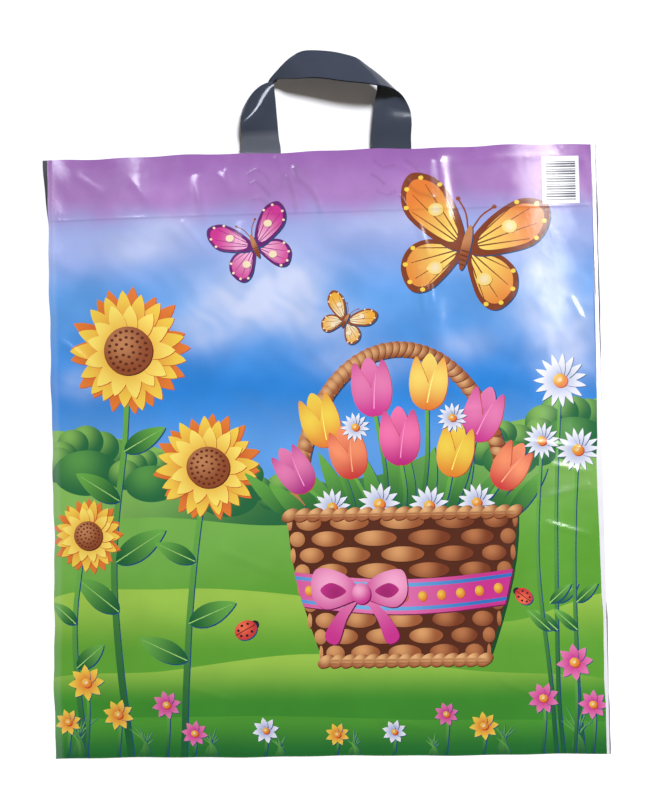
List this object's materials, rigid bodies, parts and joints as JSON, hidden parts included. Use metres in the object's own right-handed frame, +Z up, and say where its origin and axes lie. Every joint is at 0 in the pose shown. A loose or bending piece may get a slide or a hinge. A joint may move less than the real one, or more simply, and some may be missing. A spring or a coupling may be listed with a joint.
{
  "type": "plastic carrier bag",
  "caption": "Flat plastic film carrier bag with a folded bottom, welded sides, a turned-in hem at the mouth and two soft loop handles of film strip, printed with a garden scene.",
  "frame": {"origin": "under the middle of the whole as it lies, on the surface that carries it", "axes": "+X to the right across the bag, +Y from the bottom fold to the handles, +Z up from the surface, out of the printed front"},
  "size_m": [0.45, 0.57, 0.0301],
  "materials": {
    "printed_film": "glossy printed film, softly creased",
    "handle_film": "glossy dark slate film"
  },
  "bodies": {
    "root": {"bag_body": "printed_film", "front_handle": "handle_film", "rear_handle": "handle_film"}
  },
  "joints": []
}
